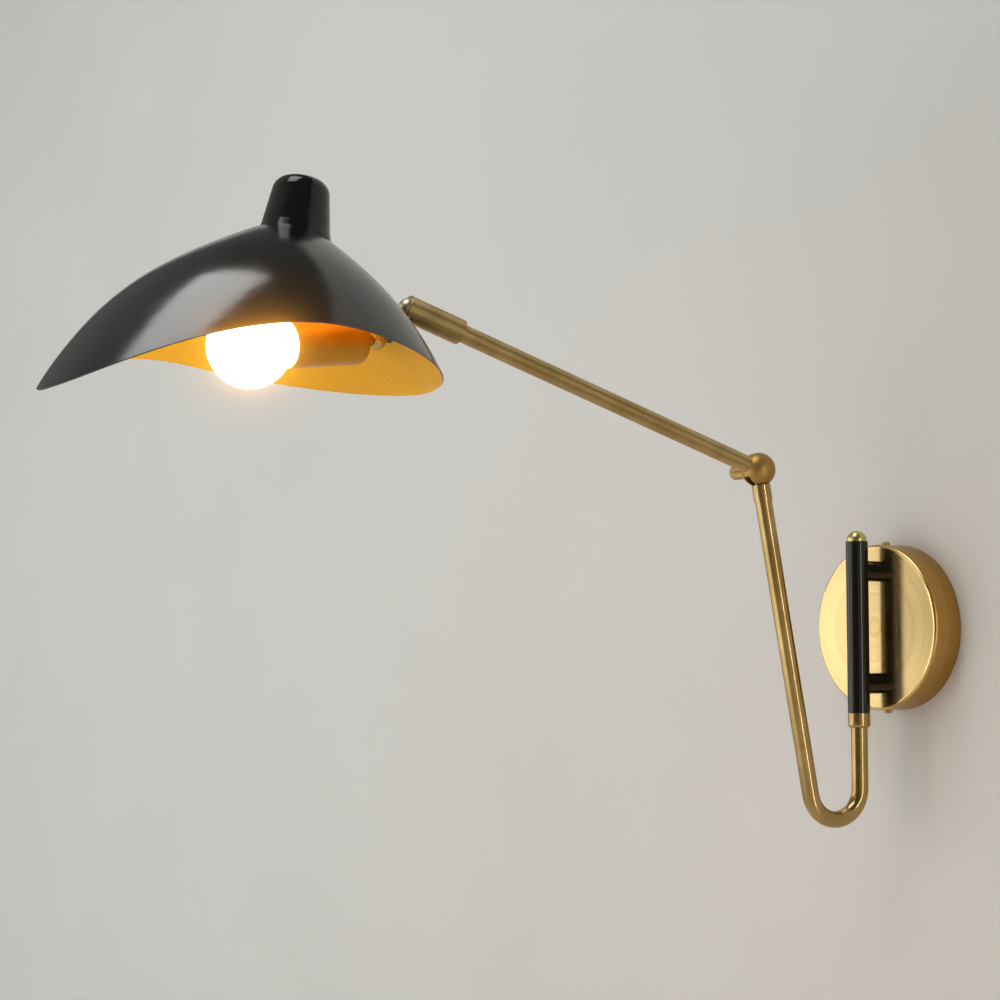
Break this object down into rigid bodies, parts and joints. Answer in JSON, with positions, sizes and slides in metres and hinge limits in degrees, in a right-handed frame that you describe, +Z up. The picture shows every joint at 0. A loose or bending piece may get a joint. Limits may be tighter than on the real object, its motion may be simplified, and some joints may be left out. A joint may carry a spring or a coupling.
{
  "type": "adjustable wall lamp",
  "caption": "Wall lamp with a round plate, a swinging bent arm, a folding elbow and a black bill-shaped shade with a knob on a ball joint, lit bulb inside.",
  "frame": {"origin": "middle of the wall plate's back, on the wall", "axes": "+Z up, +Y into the wall, the lamp reaches out along -Y, +X to the right seen from in front"},
  "size_m": [0.1919, 0.6512, 0.4187],
  "materials": {
    "spun_brass": "pale spun brass, satin",
    "antique_brass": "antique brass, satin lacquer",
    "polished_brass": "polished brass",
    "lampholder_brass": "bright brass",
    "brass_screw": "plain brass",
    "black_gloss": "gloss black lacquer",
    "black_enamel": "gloss black outside, gold inside",
    "black_knob": "gloss black",
    "zinc_steel": "zinc plated",
    "bare_aluminium": "bare",
    "nylon": "black nylon",
    "white_plastic": "moulded, plain",
    "opal_glass": "opal, lit"
  },
  "bodies": {
    "wall_mount": {"wall_bracket": "zinc_steel", "earth_screw": "brass_screw", "terminal_block": "white_plastic", "wall_plate": "spun_brass", "rim_screws": "brass_screw", "standoffs": "black_gloss", "standoff_nipples": "zinc_steel", "nipple_nuts": "zinc_steel", "holder_tube": "black_gloss", "holder_bushes": "nylon"},
    "lower_arm": {"thrust_washers": "nylon", "dome_cap": "polished_brass", "stop_collar": "antique_brass", "collar_screw": "zinc_steel", "lower_arm_tube": "antique_brass", "elbow_tongue": "antique_brass"},
    "upper_arm": {"elbow_ball": "antique_brass", "friction_washers": "nylon", "upper_arm_tube": "antique_brass", "tip_plug": "antique_brass"},
    "thumb_screw": {"thumb_screw": "antique_brass"},
    "tip_sleeve": {"tip_sleeve": "antique_brass", "ball_seat": "nylon"},
    "tip_ball": {"tip_ball": "polished_brass"},
    "shade": {"shade_stem": "polished_brass", "saddle_washers": "nylon", "shade": "black_enamel", "shade_knob": "black_knob", "knob_washer": "zinc_steel", "knob_screw": "zinc_steel", "lamp_knuckle": "polished_brass", "lamp_nipple": "zinc_steel", "lampholder_shell": "lampholder_brass", "lampholder_base": "white_plastic", "lampholder_liner": "white_plastic", "screw_shell": "bare_aluminium", "centre_contact": "brass_screw", "bulb_cap": "bare_aluminium", "bulb_globe": "opal_glass"}
  },
  "joints": [
    {"name": "arm_swing", "type": "hinge", "parent": "wall_mount", "child": "lower_arm", "pos_m": [0, -0.0417, 0], "axis": [0, 0, 1], "range_deg": [-68, 80]},
    {"name": "elbow_fold", "type": "hinge", "parent": "lower_arm", "child": "upper_arm", "pos_m": [-0.00924, -0.12679, 0.11011], "axis": [-0.9942, 0.108, 0], "range_deg": [-50, 50]},
    {"name": "thumb_screw_turn", "type": "hinge", "parent": "upper_arm", "child": "thumb_screw", "pos_m": [-0.00924, -0.12679, 0.11011], "axis": [-0.9942, 0.108, 0], "range_deg": [0, 360]},
    {"name": "sleeve_turn", "type": "hinge", "parent": "upper_arm", "child": "tip_sleeve", "pos_m": [-0.03874, -0.39827, 0.20254], "axis": [-0.1023, -0.9417, 0.3206], "range_deg": [-60, 60]},
    {"name": "shade_tilt", "type": "hinge", "parent": "tip_sleeve", "child": "tip_ball", "pos_m": [-0.03874, -0.39827, 0.20254], "axis": [0.9872, -0.0565, 0.1491], "range_deg": [-50, 24]},
    {"name": "shade_turn", "type": "hinge", "parent": "tip_ball", "child": "shade", "pos_m": [-0.03874, -0.39827, 0.20254], "axis": [0.0603, -0.7334, -0.6771], "range_deg": [-45, 45]}
  ]
}
